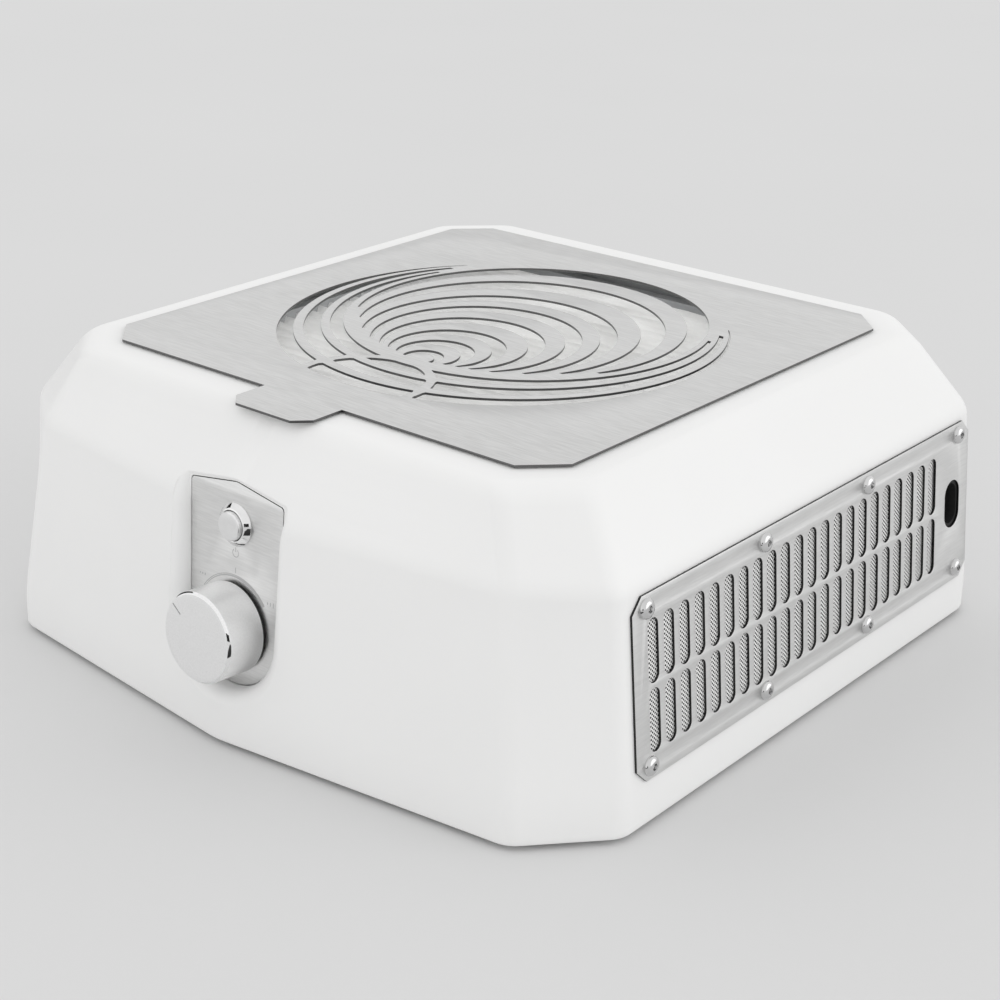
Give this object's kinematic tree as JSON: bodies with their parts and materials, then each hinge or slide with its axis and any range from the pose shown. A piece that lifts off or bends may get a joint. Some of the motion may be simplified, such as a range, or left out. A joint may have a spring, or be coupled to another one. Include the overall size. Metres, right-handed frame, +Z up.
{
  "type": "nail dust collector",
  "caption": "Table-top nail dust collector: square faceted housing, slotted lift-off cover over a pleated filter and fan, side exhaust panel, front speed knob and button.",
  "frame": {"origin": "on the table plane, under the middle of the bounding box", "axes": "+X to the exhaust panel side, +Y to the back away from the knob, +Z up"},
  "size_m": [0.3163, 0.3284, 0.1245],
  "materials": {
    "shell_white": "satin white moulded plastic",
    "sheet_steel": "brushed",
    "zinc_steel": "bright zinc",
    "plain_steel": "satin",
    "rubber_black": "matt",
    "filter_board": "matt grey",
    "filter_media": "pleated non-woven",
    "foam_black": "foam",
    "well_grey": "satin grey",
    "fan_black": "matt",
    "motor_alu": "cast",
    "shaft_steel": "ground",
    "mesh_steel": "perforated sheet",
    "inlet_black": "matt black",
    "pin_brass": "plated",
    "board_green": "solder mask",
    "parts_black": "satin",
    "chrome_bright": "polished",
    "knob_alu": "satin turned"
  },
  "bodies": {
    "housing": {"housing_shell": "shell_white", "base_plate": "plain_steel", "base_screws": "zinc_steel", "rubber_feet": "rubber_black", "filter_gasket": "foam_black", "filter_well": "well_grey", "finger_guard": "zinc_steel", "fan_volute": "fan_black", "fan_inlet_ring": "fan_black", "motor_body": "motor_alu", "motor_bearings": "shaft_steel", "motor_plate": "plain_steel", "motor_screws": "zinc_steel", "motor_mounts": "rubber_black", "exhaust_plenum": "fan_black", "exhaust_panel": "sheet_steel", "exhaust_mesh": "mesh_steel", "panel_screws": "chrome_bright", "power_inlet": "inlet_black", "inlet_pins": "pin_brass", "power_board": "board_green", "power_parts": "parts_black", "control_plate": "sheet_steel", "button_bezel": "chrome_bright", "button_switch": "inlet_black", "button_nut": "zinc_steel", "pot_body": "parts_black", "pot_nut": "zinc_steel", "speed_board": "board_green"},
    "cover": {"cover_plate": "sheet_steel", "cover_studs": "zinc_steel"},
    "filter": {"filter_frame": "filter_board", "filter_pleats": "filter_media"},
    "fan_wheel": {"impeller": "fan_black", "motor_shaft": "shaft_steel"},
    "push_button": {"button_cap": "knob_alu"},
    "speed_knob": {"knob": "knob_alu", "pot_shaft": "knob_alu"}
  },
  "joints": [
    {"name": "filter_lift", "type": "slide", "parent": "housing", "child": "filter", "axis": [0, 0, 1], "range_m": [0, 0.06]},
    {"name": "cover_lift", "type": "slide", "parent": "filter", "child": "cover", "axis": [0, 0, 1], "range_m": [0, 0.06]},
    {"name": "fan_spin", "type": "hinge", "parent": "housing", "child": "fan_wheel", "pos_m": [-0.00131, 0.00916, 0.04], "axis": [0, 0, 1], "continuous": true},
    {"name": "button_press", "type": "slide", "parent": "housing", "child": "push_button", "axis": [0, 0.9969, -0.0785], "range_m": [0, 0.0018], "stiffness_N_per_m": 800},
    {"name": "knob_turn", "type": "hinge", "parent": "housing", "child": "speed_knob", "pos_m": [-0.00131, -0.14421, 0.0452], "axis": [0, 0.9969, -0.0785], "range_deg": [0, 104]}
  ]
}
